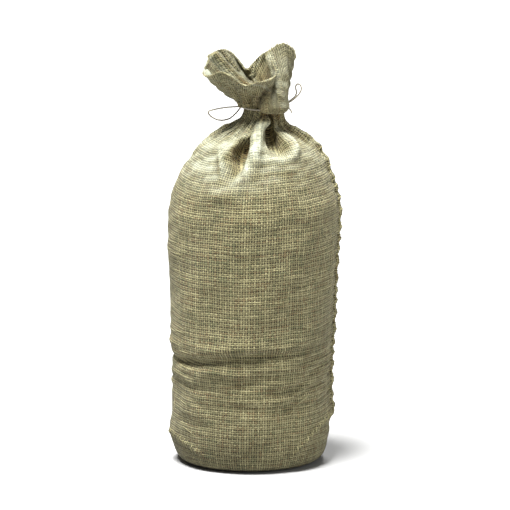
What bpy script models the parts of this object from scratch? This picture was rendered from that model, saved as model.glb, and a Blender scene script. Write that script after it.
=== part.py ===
"""A hessian sandbag: a filled sack standing on its base, its neck gathered and tied with thin twine.

Metres, +Z up. The front faces -Y and the sewn side seam runs up the +X side.
The origin is on the floor, under the middle of the sack and its tie.
"""
import math

import bmesh
import bpy
import numpy as np
from mathutils import Vector

# Driving sizes, in metres
TIE_HEIGHT = 0.452
CLOTH_WALL = 0.0026
SEAM_RISE = 0.0045
SEAM_HALF = 0.0042
SEAM_FOOT = 0.050
SEAM_TOP = 0.422
SEAM_FADE = 0.014
BOTTOM_SEAM_SHARE = 0.6
GAP = 0.0003
TWINE = 0.0020

# Below this height folds only move the cloth sideways, so the base stays flat
BASE_ROUND = 0.020

# How finely the cloth is divided
COLUMNS = 86
SEAM_CROWDING = 0.40

# The filled body and the gathered neck, from the floor up
# height, half width, half depth, middle in x
BODY = (
    (0.0000, 0.0760, 0.0700, -0.0060),
    (0.0035, 0.0875, 0.0835, -0.0060),
    (0.0130, 0.0945, 0.0915, -0.0060),
    (0.0330, 0.0985, 0.0955, -0.0060),
    (0.0620, 0.0990, 0.0965, -0.0055),
    (0.1000, 0.0985, 0.0965, -0.0045),
    (0.1400, 0.0990, 0.0960, -0.0040),
    (0.1650, 0.1015, 0.0970, -0.0045),
    (0.2000, 0.1025, 0.0975, -0.0040),
    (0.2500, 0.1040, 0.0980, -0.0035),
    (0.2950, 0.1060, 0.0970, -0.0025),
    (0.3250, 0.1055, 0.0945, -0.0015),
    (0.3480, 0.1005, 0.0890, -0.0010),
    (0.3690, 0.0920, 0.0815, 0.0005),
    (0.3880, 0.0825, 0.0720, 0.0028),
    (0.4050, 0.0716, 0.0615, 0.0022),
    (0.4190, 0.0525, 0.0470, 0.0030),
    (0.4300, 0.0360, 0.0345, 0.0050),
    (0.4400, 0.0285, 0.0285, 0.0090),
    (0.4490, 0.0265, 0.0265, 0.0105),
    (0.4560, 0.0265, 0.0265, 0.0105),
)
SEAM_KNOT = 3
FREE_KNOT = 6

# The bottom seam rises from the floor to a corner on each side
CORNER_RIGHT = 0.062
CORNER_LEFT = 0.038
CORNER_REACH = 0.52
CORNER_RISE = 0.0030
CORNER_DEGREES = 9.0
CORNER_HALF = 0.015

# Pleats that run from the tie down over the shoulders
# degrees round at the tie, degrees round at the foot, depth, height of the foot
PLEATS = (
    (20.0, 15.0, 0.0055, 0.385),
    (43.0, 38.0, 0.0065, 0.370),
    (68.0, 66.0, 0.0055, 0.392),
    (92.0, 92.0, 0.0070, 0.375),
    (117.0, 120.0, 0.0055, 0.395),
    (141.0, 146.0, 0.0065, 0.368),
    (164.0, 170.0, 0.0055, 0.388),
    (188.0, 184.0, 0.0055, 0.380),
    (212.0, 205.0, 0.0065, 0.366),
    (237.0, 230.0, 0.0055, 0.378),
    (261.0, 257.0, 0.0090, 0.384),
    (289.0, 290.0, 0.0090, 0.400),
    (314.0, 317.0, 0.0060, 0.396),
    (339.0, 345.0, 0.0060, 0.378),
)
PLEAT_DEGREES = 7.5

# Hollows (below zero) and swellings of the cloth
# degrees round, height, depth, half width in degrees, half height
DIMPLES = (
    (256.0, 0.401, -0.0095, 7.0, 0.014),
    (269.0, 0.404, 0.0050, 5.5, 0.022),
    (290.0, 0.421, -0.0095, 10.0, 0.012),
    (308.0, 0.410, 0.0045, 9.0, 0.011),
    (238.0, 0.404, 0.0035, 6.0, 0.012),
    (118.0, 0.392, -0.0050, 8.0, 0.016),
    (62.0, 0.400, -0.0045, 8.0, 0.014),
)

# Level creases in the wall, each under a small swelling
# degrees round at its middle, degrees to its end, height at the left, at the right, depth
CREASES = (
    (232.0, 84.0, 0.125, 0.153, 0.0052),
    (236.0, 58.0, 0.106, 0.112, 0.0018),
    (312.0, 44.0, 0.110, 0.107, 0.0018),
    (284.0, 48.0, 0.086, 0.085, 0.0016),
    (222.0, 22.0, 0.064, 0.052, 0.0020),
    (70.0, 60.0, 0.150, 0.128, 0.0035),
)
CREASE_HALF = 0.0065

# The open edge of the sack above the tie, all the way round from the seam
# x, y, height
RIM = (
    (0.0500, 0.0030, 0.5130),
    (0.0470, 0.0150, 0.5120),
    (0.0370, 0.0260, 0.5160),
    (0.0230, 0.0320, 0.5190),
    (0.0090, 0.0370, 0.5110),
    (-0.0020, 0.0350, 0.5010),
    (-0.0110, 0.0290, 0.4940),
    (-0.0200, 0.0340, 0.5040),
    (-0.0290, 0.0380, 0.5130),
    (-0.0420, 0.0310, 0.5180),
    (-0.0550, 0.0130, 0.5150),
    (-0.0625, -0.0060, 0.5025),
    (-0.0640, -0.0200, 0.4955),
    (-0.0560, -0.0290, 0.4955),
    (-0.0420, -0.0290, 0.5005),
    (-0.0280, -0.0350, 0.4940),
    (-0.0110, -0.0440, 0.4860),
    (0.0060, -0.0450, 0.4905),
    (0.0190, -0.0370, 0.4925),
    (0.0265, -0.0250, 0.4975),
    (0.0215, -0.0150, 0.5095),
    (0.0135, -0.0095, 0.5165),
    (0.0200, -0.0070, 0.5260),
    (0.0340, -0.0100, 0.5335),
    (0.0440, -0.0100, 0.5290),
    (0.0495, -0.0060, 0.5200),
)

# How the cloth leaves the tie on its way to the rim
FLARE_OUT = 0.0180
FLARE_UP = 0.0170
LIP_DEGREES = 312.0
LIP_HALF_DEGREES = 30.0
LIP_OUT = 0.0245
LIP_FLAT = 0.94
LIP_DROP = 0.0105
LIP_SHARE = 0.31
LIP_HALF_SHARE = 0.11

# The hollow in the gathered neck
THROAT_FLOOR = 0.4700
THROAT_HALF = 0.0110
THROAT_FROM = 0.26
THROAT_TO = 0.92

# Steps for reading a slope
NEAR_DEGREES = 0.4
NEAR_SHARE = 0.01
NEAR_ROW = 0.02

# The twine's loose bights and its end, each from the tie outwards
# x, y, height
LEFT_LOOP = (
    (-0.0184, -0.0040, 0.4520),
    (-0.0270, -0.0085, 0.4526),
    (-0.0380, -0.0095, 0.4518),
    (-0.0500, -0.0075, 0.4492),
    (-0.0578, -0.0020, 0.4455),
    (-0.0555, 0.0030, 0.4388),
    (-0.0455, 0.0062, 0.4332),
    (-0.0330, 0.0094, 0.4338),
    (-0.0232, 0.0114, 0.4415),
    (-0.0169, 0.0105, 0.4500),
)
RIGHT_LOOP = (
    (0.0415, 0.0010, 0.4560),
    (0.0470, 0.0006, 0.4594),
    (0.0516, 0.0000, 0.4636),
    (0.0556, -0.0010, 0.4684),
    (0.0580, -0.0010, 0.4742),
    (0.0562, 0.0000, 0.4792),
    (0.0522, 0.0015, 0.4792),
    (0.0508, 0.0030, 0.4750),
    (0.0518, 0.0042, 0.4696),
    (0.0506, 0.0046, 0.4640),
    (0.0461, 0.0046, 0.4598),
    (0.0415, 0.0042, 0.4562),
)
TWINE_END = (
    (0.0415, -0.0048, 0.4515),
    (0.0434, -0.0077, 0.4496),
    (0.0452, -0.0108, 0.4478),
    (0.0458, -0.0144, 0.4466),
)
KNOT_PLACE = (0.0413, 0.0005, 0.4520)
KNOT_HALF = (0.0022, 0.0048, 0.0033)
KNOT_LUMP = 0.10
KNOT_LUMPS = 3.0


def clear_scene():
    for thing in list(bpy.data.objects):
        bpy.data.objects.remove(thing, do_unlink=True)


def cloth_material(name, colour, roughness):
    material = bpy.data.materials.new(name)
    material.use_nodes = True
    shader = material.node_tree.nodes["Principled BSDF"]
    shader.inputs["Base Color"].default_value = (*colour, 1.0)
    shader.inputs["Roughness"].default_value = roughness
    shader.inputs["Metallic"].default_value = 0.0
    return material


def ease(low, high, value):
    """Nought below low, one above high, and smooth between."""
    share = np.clip((value - low) / (high - low), 0.0, 1.0)
    return share * share * (3.0 - 2.0 * share)


def turn_between(angle, middle):
    """The shortest turn from middle to angle, in degrees."""
    return (angle - middle + 180.0) % 360.0 - 180.0


def through_rows(table, place, closed=False):
    """A smooth curve through a table's rows, read at a row number that may be a fraction."""
    rows = np.array(table)
    count = len(rows)
    first = np.floor(place).astype(int)
    if not closed:
        first = np.clip(first, 0, count - 2)
    share = (place - first)[..., None]
    near = []
    for step in (-1, 0, 1, 2):
        index = (first + step) % count if closed else np.clip(first + step, 0, count - 1)
        near.append(rows[index])
    before, start, end, after = near
    return start + 0.5 * share * (
        end - before
        + share * (2.0 * before - 5.0 * start + 4.0 * end - after
                   + share * (3.0 * (start - end) + after - before)))


def even_rim(shares, samples=1200):
    """Points of the rim at even shares of its length."""
    places = np.linspace(0.0, len(RIM), samples)
    fine = through_rows(RIM, places, closed=True)
    steps = np.linalg.norm(np.diff(fine, axis=0), axis=1)
    length = np.concatenate(([0.0], np.cumsum(steps)))
    wanted = np.asarray(shares) % 1.0 * length[-1]
    return np.stack([np.interp(wanted, length, fine[:, axis]) for axis in range(3)], axis=-1)


def corner_height(degrees):
    """Height of the bottom seam at each angle, with a corner at either side."""
    across = np.cos(np.radians(degrees))
    corner = np.where(across > 0.0, CORNER_RIGHT, CORNER_LEFT)
    fall = np.clip((1.0 - np.abs(across)) / CORNER_REACH, 0.0, 1.0) ** 1.3
    return BODY[2][0] + (corner - BODY[2][0]) * (1.0 - fall)


def seam_place(degrees):
    """Row number of the bottom seam at each angle."""
    heights = [row[0] for row in BODY[:FREE_KNOT + 1]]
    return np.interp(corner_height(degrees), heights, range(FREE_KNOT + 1))


def follow_seam(degrees, place):
    """Move the lower rows so that one of them lies on the bottom seam."""
    seam = seam_place(degrees)
    below = place / SEAM_KNOT * seam
    above = seam + (place - SEAM_KNOT) / (FREE_KNOT - SEAM_KNOT) * (FREE_KNOT - seam)
    moved = np.where(place < SEAM_KNOT, below, above)
    return np.where(place < FREE_KNOT, moved, place)


def pleat_rise(degrees, height):
    """How far the pleats take the cloth in, at an angle and a height."""
    rise = np.zeros_like(degrees * height)
    for at_tie, at_foot, depth, foot in PLEATS:
        down = np.clip((TIE_HEIGHT - height) / (TIE_HEIGHT - foot), 0.0, 1.0)
        middle = at_tie + (at_foot - at_tie) * down
        strength = 1.0 - ease(0.25, 1.0, down)
        rise -= depth * strength * np.exp(-(turn_between(degrees, middle) / PLEAT_DEGREES) ** 2)
    return rise


def fold_rise(degrees, height):
    """Dimples in the shoulders and creases in the wall."""
    rise = np.zeros_like(degrees * height)
    for middle, level, depth, half_turn, half_height in DIMPLES:
        turn = turn_between(degrees, middle) / half_turn
        rise += depth * np.exp(-turn ** 2 - ((height - level) / half_height) ** 2)
    across = ease(-0.1, 0.6, 0.5 + 0.5 * np.cos(np.radians(degrees)))
    for middle, reach, left, right, depth in CREASES:
        level = left + (right - left) * across
        turn = np.clip(np.abs(turn_between(degrees, middle)) / reach, 0.0, 1.0)
        strength = depth * (1.0 - ease(0.35, 1.0, turn))
        offset = (height - level) / CREASE_HALF
        rise += strength * (0.55 * np.exp(-((offset - 2.0) / 1.5) ** 2) - np.exp(-offset ** 2))
    return rise


def seam_rise(degrees, place, height):
    """The side seam up the right, and the bottom seam with its two corners."""
    half_width = through_rows(BODY, place)[..., 1]
    beside = np.abs(turn_between(degrees, 0.0)) * math.pi / 180.0 * half_width
    side = np.clip(1.0 - beside / SEAM_HALF, 0.0, 1.0)
    above_corner = ease(SEAM_FOOT, SEAM_FOOT + SEAM_FADE, height)
    below_tie = 1.0 - ease(SEAM_TOP, SEAM_TOP + SEAM_FADE, height)
    rise = SEAM_RISE * side * above_corner * below_tie
    seam = corner_height(degrees)
    front = ease(-0.05, 0.12, -np.sin(np.radians(degrees)))
    near = np.clip(1.0 - np.abs(height - seam) / SEAM_HALF, 0.0, 1.0)
    off_floor = ease(SEAM_FADE, 2.0 * SEAM_FADE, seam)
    rise += BOTTOM_SEAM_SHARE * SEAM_RISE * near * front * off_floor
    for middle, level in ((0.0, CORNER_RIGHT), (180.0, CORNER_LEFT)):
        turn = turn_between(degrees, middle) / CORNER_DEGREES
        rise += CORNER_RISE * np.exp(-turn ** 2 - ((height - level) / CORNER_HALF) ** 2)
    return rise


def body_point(degrees, place):
    """A point of the body: degrees round from the side seam, and a row number of BODY."""
    degrees = np.asarray(degrees, dtype=float)
    place = follow_seam(degrees, np.asarray(place, dtype=float) + 0.0 * degrees)
    row = through_rows(BODY, place)
    ahead = through_rows(BODY, np.minimum(place + NEAR_ROW, len(BODY) - 1.0))
    behind = through_rows(BODY, np.maximum(place - NEAR_ROW, 0.0))
    height = row[..., 0]
    turn = np.radians(degrees)
    point = np.stack([row[..., 3] + row[..., 1] * np.cos(turn), row[..., 2] * np.sin(turn), height], axis=-1)
    outward = np.stack([np.cos(turn) / row[..., 1], np.sin(turn) / row[..., 2]], axis=-1)
    outward /= np.linalg.norm(outward, axis=-1)[..., None]
    climb = ahead[..., 0] - behind[..., 0]
    spread = ahead[..., 1] - behind[..., 1]
    slope = np.hypot(climb, spread)
    level_share = climb / slope
    rise = pleat_rise(degrees, height) + fold_rise(degrees, height) + seam_rise(degrees, place, height)
    point[..., 0] += rise * outward[..., 0] * level_share
    point[..., 1] += rise * outward[..., 1] * level_share
    point[..., 2] -= rise * spread / slope * ease(BASE_ROUND, 3.0 * BASE_ROUND, height)
    return point


def ruff_point(degrees, share):
    """A point of the gathered cloth above the tie, from the tie (0) to the rim (1)."""
    degrees = np.asarray(degrees, dtype=float)
    share = np.asarray(share, dtype=float)[..., None] + 0.0 * degrees[..., None]
    tie = body_point(degrees, len(BODY) - 1.0)
    rim = even_rim(degrees / 360.0)
    turn = np.radians(degrees)
    lip = np.exp(-(turn_between(degrees, LIP_DEGREES) / LIP_HALF_DEGREES) ** 2)
    spread = FLARE_OUT * (0.60 - 0.45 * np.cos(turn)) + LIP_OUT * lip
    climb = FLARE_UP * (0.55 + 0.45 * np.cos(turn)) * (1.0 - LIP_FLAT * lip)
    away = np.stack([spread * np.cos(turn), spread * np.sin(turn), climb], axis=-1)
    middle = tie + away
    lip_share = lip[..., None]
    fading = (1.0 - share) ** 2
    gather = 3.0 * share * fading * (1.0 - lip_share) - fading * lip_share * ease(0.0, 0.15, share)
    gather = gather * pleat_rise(degrees, TIE_HEIGHT)[..., None]
    sideways = np.stack([np.cos(turn), np.sin(turn), 0.0 * turn], axis=-1)
    point = fading * tie + 2.0 * share * (1.0 - share) * middle + share ** 2 * rim
    point += gather * sideways
    point[..., 2] -= LIP_DROP * lip * np.exp(-((share[..., 0] - LIP_SHARE) / LIP_HALF_SHARE) ** 2)
    return point


def inner_point(degrees, share):
    """The inner side of the ruff, which narrows to the closed throat."""
    around = ruff_point(degrees + NEAR_DEGREES, share) - ruff_point(degrees - NEAR_DEGREES, share)
    up = ruff_point(degrees, share + NEAR_SHARE) - ruff_point(degrees, share - NEAR_SHARE)
    outward = np.cross(around, up)
    outward /= np.linalg.norm(outward, axis=-1)[..., None]
    wall = ruff_point(degrees, share) - CLOTH_WALL * outward
    turn = np.radians(degrees)
    middle_x = BODY[-1][3]
    throat = np.stack([
        middle_x + THROAT_HALF * np.cos(turn),
        THROAT_HALF * np.sin(turn),
        THROAT_FLOOR + 0.0 * turn], axis=-1)
    closing = 1.0 - ease(THROAT_FROM, THROAT_TO, share)
    return wall + (throat - wall) * closing


def column_degrees():
    """Angles of the columns, closer together at the side seam."""
    even = np.arange(COLUMNS) * 360.0 / COLUMNS
    return even - SEAM_CROWDING * 180.0 / math.pi * np.sin(np.radians(even))


def body_places():
    """Row numbers of the body, closer together at the bottom seam and the main crease."""
    low = [0.0, 0.5, 1.0, 1.5, 2.0, 2.5, 2.8, 3.0, 3.2, 3.6, 4.2, 5.0]
    crease = [5.6, 6.0, 6.2, 6.4, 6.6, 6.8, 7.0, 7.3]
    wall = [7.7, 8.2, 8.8, 9.4, 10.0, 10.6]
    shoulder = list(np.arange(11.1, len(BODY) - 1.2, 0.5))
    return low + crease + wall + shoulder + [len(BODY) - 1.0]


def sack_rows():
    """Every closed row of the sack's solid, from its flat base up and over the rim into the throat."""
    degrees = column_degrees()
    outer_shares = (0.10, 0.20, 0.30, 0.42, 0.56, 0.71, 0.86, 1.0)
    inner_shares = (1.0, 0.86, 0.70, 0.55, 0.42, 0.30)
    rows = [body_point(degrees, place) for place in body_places()]
    rows += [ruff_point(degrees, share) for share in outer_shares]
    rows += [inner_point(degrees, share) for share in inner_shares]
    return rows


def box_middle(rows):
    """Middle of the box round the sack's rows, on the floor."""
    points = np.concatenate(rows)
    middle = 0.5 * (points.min(axis=0) + points.max(axis=0))
    return Vector((middle[0], middle[1], 0.0))


def add_object(name, data, material):
    thing = bpy.data.objects.new(name, data)
    thing.data.materials.append(material)
    bpy.context.collection.objects.link(thing)
    return thing


def make_sack(rows, middle, material):
    """One closed solid: a grid rolled into a tube row by row, with a flat base and a closed throat."""
    mesh = bpy.data.meshes.new("sack")
    shape = bmesh.new()
    bmesh.ops.create_grid(shape, x_segments=COLUMNS, y_segments=len(rows) - 1, size=1.0)
    shape.verts.ensure_lookup_table()
    across = COLUMNS + 1
    meeting = {}
    for level, row in enumerate(rows):
        for column in range(across):
            vert = shape.verts[level * across + column]
            vert.co = Vector(row[column % COLUMNS]) - middle
        meeting[shape.verts[level * across + COLUMNS]] = shape.verts[level * across]
    bmesh.ops.weld_verts(shape, targetmap=meeting)
    open_edges = [edge for edge in shape.edges if edge.is_boundary]
    bmesh.ops.holes_fill(shape, edges=open_edges, sides=0)
    bmesh.ops.recalc_face_normals(shape, faces=shape.faces)
    shape.to_mesh(mesh)
    shape.free()
    mesh.shade_smooth()
    return add_object("sack", mesh, material)


def smooth_route(points, spacing):
    """A smooth open route through hand-chosen points, read at an even spacing."""
    fine = through_rows(points, np.linspace(0.0, len(points) - 1.0, 600))
    length = np.concatenate(([0.0], np.cumsum(np.linalg.norm(np.diff(fine, axis=0), axis=1))))
    count = max(4, int(round(length[-1] / spacing)) + 1)
    wanted = np.linspace(0.0, length[-1], count)
    return np.stack([np.interp(wanted, length, fine[:, axis]) for axis in range(3)], axis=-1)


def make_twine(name, route, middle, material, closed=False):
    curve = bpy.data.curves.new(name, "CURVE")
    curve.dimensions = "3D"
    curve.bevel_depth = 0.5 * TWINE
    curve.bevel_resolution = 2
    curve.use_fill_caps = not closed
    spline = curve.splines.new("POLY")
    spline.points.add(len(route) - 1)
    spline.use_cyclic_u = closed
    for spot, point in zip(spline.points, route):
        spot.co = (*(Vector(point) - middle), 1.0)
    return add_object(name, curve, material)


def band_route(count=44):
    """The taut turn of twine round the pleats, just clear of them."""
    clear = 0.5 * TWINE + GAP
    turn = np.arange(count) * 2.0 * math.pi / count
    _, half_width, half_depth, middle_x = BODY[-1]
    return np.stack([
        middle_x + (half_width + clear) * np.cos(turn),
        (half_depth + clear) * np.sin(turn),
        TIE_HEIGHT + 0.0 * turn], axis=-1)


def make_knot(middle, material):
    """A small tight knot at the right of the turn, where the bight comes out."""
    mesh = bpy.data.meshes.new("tie_knot")
    shape = bmesh.new()
    bmesh.ops.create_icosphere(shape, subdivisions=2, radius=1.0)
    for vert in shape.verts:
        wave = math.sin(KNOT_LUMPS * math.atan2(vert.co.z, vert.co.y) + 2.0 * vert.co.x)
        lump = 1.0 - KNOT_LUMP * (0.5 + 0.5 * wave)
        scaled = Vector(half * side * lump for half, side in zip(KNOT_HALF, vert.co))
        vert.co = Vector(KNOT_PLACE) + scaled - middle
    shape.to_mesh(mesh)
    shape.free()
    mesh.shade_smooth()
    return add_object("tie_knot", mesh, material)


def main():
    clear_scene()
    hessian = cloth_material("hessian", (0.278, 0.254, 0.140), 0.92)
    twine = cloth_material("twine", (0.300, 0.270, 0.190), 0.85)
    rows = sack_rows()
    middle = box_middle(rows)
    make_sack(rows, middle, hessian)
    make_twine("tie_band", band_route(), middle, twine, closed=True)
    make_knot(middle, twine)
    make_twine("loop_left", smooth_route(LEFT_LOOP, 2.5 * TWINE), middle, twine)
    make_twine("loop_right", smooth_route(RIGHT_LOOP, 2.0 * TWINE), middle, twine)
    make_twine("twine_end", smooth_route(TWINE_END, 2.0 * TWINE), middle, twine)


main()
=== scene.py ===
"""Looks of the hessian sandbag: woven cloth on the filled sack, sewn seams, frayed rim and twine tie.

Metres, +Z up, front towards -Y, side seam on +X. Shapes come from the same named sizes as the solids.
"""
import math

import bmesh
import bpy
import numpy as np
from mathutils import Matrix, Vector


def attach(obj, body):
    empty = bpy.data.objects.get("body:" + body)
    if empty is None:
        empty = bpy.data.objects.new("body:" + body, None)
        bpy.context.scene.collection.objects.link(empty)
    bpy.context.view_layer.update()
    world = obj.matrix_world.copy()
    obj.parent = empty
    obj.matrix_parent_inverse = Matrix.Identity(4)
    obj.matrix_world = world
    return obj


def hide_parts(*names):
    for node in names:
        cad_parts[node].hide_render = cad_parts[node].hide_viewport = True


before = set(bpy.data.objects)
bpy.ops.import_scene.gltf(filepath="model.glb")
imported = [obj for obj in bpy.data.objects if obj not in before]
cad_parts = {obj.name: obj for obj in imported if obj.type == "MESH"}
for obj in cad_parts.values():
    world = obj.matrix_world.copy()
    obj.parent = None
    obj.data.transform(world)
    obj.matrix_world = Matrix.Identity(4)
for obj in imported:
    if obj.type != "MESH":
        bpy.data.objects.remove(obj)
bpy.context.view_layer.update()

# Sizes shared with the solids, in metres
TIE_HEIGHT = 0.452
SEAM_RISE = 0.0045
SEAM_HALF = 0.0042
SEAM_FOOT = 0.050
SEAM_TOP = 0.422
SEAM_FADE = 0.014
BOTTOM_SEAM_SHARE = 0.6
GAP = 0.0003
TWINE = 0.0020

# The solids stand this far from the places below, so that their box is centred
BOX_MIDDLE = (0.0001, -0.0008, 0.0)

# Real cloth is thinner than the solid's wall
CLOTH_WALL = 0.0013

# Below this height folds only move the cloth sideways, so the base stays flat
BASE_ROUND = 0.020

# The filled body and the gathered neck, from the floor up
# height, half width, half depth, middle in x
BODY = (
    (0.0000, 0.0760, 0.0700, -0.0060),
    (0.0035, 0.0875, 0.0835, -0.0060),
    (0.0130, 0.0945, 0.0915, -0.0060),
    (0.0330, 0.0985, 0.0955, -0.0060),
    (0.0620, 0.0990, 0.0965, -0.0055),
    (0.1000, 0.0985, 0.0965, -0.0045),
    (0.1400, 0.0990, 0.0960, -0.0040),
    (0.1650, 0.1015, 0.0970, -0.0045),
    (0.2000, 0.1025, 0.0975, -0.0040),
    (0.2500, 0.1040, 0.0980, -0.0035),
    (0.2950, 0.1060, 0.0970, -0.0025),
    (0.3250, 0.1055, 0.0945, -0.0015),
    (0.3480, 0.1005, 0.0890, -0.0010),
    (0.3690, 0.0920, 0.0815, 0.0005),
    (0.3880, 0.0825, 0.0720, 0.0028),
    (0.4050, 0.0716, 0.0615, 0.0022),
    (0.4190, 0.0525, 0.0470, 0.0030),
    (0.4300, 0.0360, 0.0345, 0.0050),
    (0.4400, 0.0285, 0.0285, 0.0090),
    (0.4490, 0.0265, 0.0265, 0.0105),
    (0.4560, 0.0265, 0.0265, 0.0105),
)

# Rows of BODY: the one that follows the bottom seam, and the lowest one that stays where it is
SEAM_KNOT = 3
FREE_KNOT = 6

# The bottom seam rises from the floor to a corner on each side
CORNER_RIGHT = 0.062
CORNER_LEFT = 0.038
CORNER_REACH = 0.52
CORNER_RISE = 0.0030
CORNER_DEGREES = 9.0
CORNER_HALF = 0.015

# Pleats that run from the tie down over the shoulders
# degrees round at the tie, degrees round at the foot, depth, height of the foot
PLEATS = (
    (20.0, 15.0, 0.0055, 0.385),
    (43.0, 38.0, 0.0065, 0.370),
    (68.0, 66.0, 0.0055, 0.392),
    (92.0, 92.0, 0.0070, 0.375),
    (117.0, 120.0, 0.0055, 0.395),
    (141.0, 146.0, 0.0065, 0.368),
    (164.0, 170.0, 0.0055, 0.388),
    (188.0, 184.0, 0.0055, 0.380),
    (212.0, 205.0, 0.0065, 0.366),
    (237.0, 230.0, 0.0055, 0.378),
    (261.0, 257.0, 0.0090, 0.384),
    (289.0, 290.0, 0.0090, 0.400),
    (314.0, 317.0, 0.0060, 0.396),
    (339.0, 345.0, 0.0060, 0.378),
)
PLEAT_DEGREES = 7.5

# Hollows (below zero) and swellings of the cloth
# degrees round, height, depth, half width in degrees, half height
DIMPLES = (
    (256.0, 0.401, -0.0095, 7.0, 0.014),
    (269.0, 0.404, 0.0050, 5.5, 0.022),
    (290.0, 0.421, -0.0095, 10.0, 0.012),
    (308.0, 0.410, 0.0045, 9.0, 0.011),
    (238.0, 0.404, 0.0035, 6.0, 0.012),
    (118.0, 0.392, -0.0050, 8.0, 0.016),
    (62.0, 0.400, -0.0045, 8.0, 0.014),
)

# Level creases in the wall, each under a small swelling
# degrees round at its middle, degrees to its end, height at the left, at the right, depth
CREASES = (
    (232.0, 84.0, 0.135, 0.152, 0.0042),
    (236.0, 58.0, 0.106, 0.112, 0.0018),
    (312.0, 44.0, 0.110, 0.107, 0.0018),
    (284.0, 48.0, 0.086, 0.085, 0.0016),
    (222.0, 22.0, 0.064, 0.052, 0.0020),
    (70.0, 60.0, 0.150, 0.128, 0.0035),
)
CREASE_HALF = 0.0065

# The open edge of the sack above the tie, all the way round from the seam
# x, y, height
RIM = (
    (0.0500, 0.0030, 0.5130),
    (0.0470, 0.0150, 0.5120),
    (0.0370, 0.0260, 0.5160),
    (0.0230, 0.0320, 0.5190),
    (0.0090, 0.0370, 0.5110),
    (-0.0020, 0.0350, 0.5010),
    (-0.0110, 0.0290, 0.4940),
    (-0.0200, 0.0340, 0.5040),
    (-0.0290, 0.0380, 0.5130),
    (-0.0420, 0.0310, 0.5180),
    (-0.0550, 0.0130, 0.5150),
    (-0.0625, -0.0060, 0.5025),
    (-0.0640, -0.0200, 0.4955),
    (-0.0560, -0.0290, 0.4955),
    (-0.0420, -0.0290, 0.5005),
    (-0.0280, -0.0350, 0.4940),
    (-0.0110, -0.0440, 0.4860),
    (0.0060, -0.0450, 0.4905),
    (0.0190, -0.0370, 0.4925),
    (0.0265, -0.0250, 0.4975),
    (0.0215, -0.0150, 0.5095),
    (0.0135, -0.0095, 0.5165),
    (0.0200, -0.0070, 0.5260),
    (0.0340, -0.0100, 0.5335),
    (0.0440, -0.0100, 0.5290),
    (0.0495, -0.0060, 0.5200),
)

# How the cloth leaves the tie on its way to the rim
FLARE_OUT = 0.0180
FLARE_UP = 0.0170
LIP_DEGREES = 312.0
LIP_HALF_DEGREES = 30.0
LIP_OUT = 0.0245
LIP_FLAT = 0.94
LIP_DROP = 0.0105
LIP_SHARE = 0.31
LIP_HALF_SHARE = 0.11

# The hollow in the gathered neck
THROAT_FLOOR = 0.4700
THROAT_HALF = 0.0110
THROAT_FROM = 0.26
THROAT_TO = 0.92

# Part of a row of BODY over which its slope is read
NEAR_ROW = 0.02

# The twine's loose bights and its end, each from the tie outwards
# x, y, height
LEFT_LOOP = (
    (-0.0184, -0.0040, 0.4520),
    (-0.0270, -0.0085, 0.4526),
    (-0.0380, -0.0095, 0.4518),
    (-0.0500, -0.0075, 0.4492),
    (-0.0578, -0.0020, 0.4455),
    (-0.0555, 0.0030, 0.4388),
    (-0.0455, 0.0062, 0.4332),
    (-0.0330, 0.0094, 0.4338),
    (-0.0232, 0.0114, 0.4415),
    (-0.0169, 0.0105, 0.4500),
)
RIGHT_LOOP = (
    (0.0415, 0.0010, 0.4560),
    (0.0470, 0.0006, 0.4594),
    (0.0516, 0.0000, 0.4636),
    (0.0556, -0.0010, 0.4684),
    (0.0580, -0.0010, 0.4742),
    (0.0562, 0.0000, 0.4792),
    (0.0522, 0.0015, 0.4792),
    (0.0508, 0.0030, 0.4750),
    (0.0518, 0.0042, 0.4696),
    (0.0506, 0.0046, 0.4640),
    (0.0461, 0.0046, 0.4598),
    (0.0415, 0.0042, 0.4562),
)
TWINE_END = (
    (0.0415, -0.0048, 0.4515),
    (0.0434, -0.0077, 0.4496),
    (0.0452, -0.0108, 0.4478),
    (0.0458, -0.0144, 0.4466),
)
ROUTE_STEP = 0.0005
KNOT_PLACE = (0.0413, 0.0005, 0.4520)
KNOT_HALF = (0.0022, 0.0048, 0.0033)

# Deeper folds that the shown cloth has under the tie, each a valley with a slope on either side
# degrees at the tie, degrees at the foot, height of the foot, height where it fades, depth,
# left edge at the foot and at the tie, right edge at the foot and at the tie, rise of the left edge's crest
VALLEYS = (
    (266.0, 249.0, 0.358, 0.416, 0.0125, 2.0, 26.0, 6.0, 6.0, 0.0038),
    (293.0, 293.0, 0.388, 0.444, 0.0100, 10.0, 10.0, 15.0, 13.0, 0.0006),
    (318.0, 326.0, 0.392, 0.440, 0.0030, 8.0, 8.0, 9.0, 12.0, 0.0008),
    (348.0, 352.0, 0.388, 0.440, 0.0036, 9.0, 9.0, 7.0, 9.0, 0.0006),
    (222.0, 216.0, 0.378, 0.438, 0.0036, 10.0, 10.0, 7.0, 9.0, 0.0010),
    (196.0, 190.0, 0.372, 0.438, 0.0036, 8.0, 9.0, 10.0, 12.0, 0.0008),
    (170.0, 172.0, 0.380, 0.438, 0.0050, 10.0, 16.0, 6.0, 8.0, 0.0012),
    (132.0, 134.0, 0.372, 0.436, 0.0060, 12.0, 18.0, 7.0, 9.0, 0.0014),
    (104.0, 108.0, 0.392, 0.440, 0.0046, 8.0, 9.0, 9.0, 12.0, 0.0008),
    (78.0, 74.0, 0.378, 0.438, 0.0058, 7.0, 10.0, 13.0, 18.0, 0.0012),
    (50.0, 48.0, 0.396, 0.440, 0.0044, 8.0, 10.0, 8.0, 10.0, 0.0008),
    (26.0, 20.0, 0.376, 0.438, 0.0050, 7.0, 8.0, 12.0, 15.0, 0.0010),
)
VALLEY_EDGE = 2.4

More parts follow.
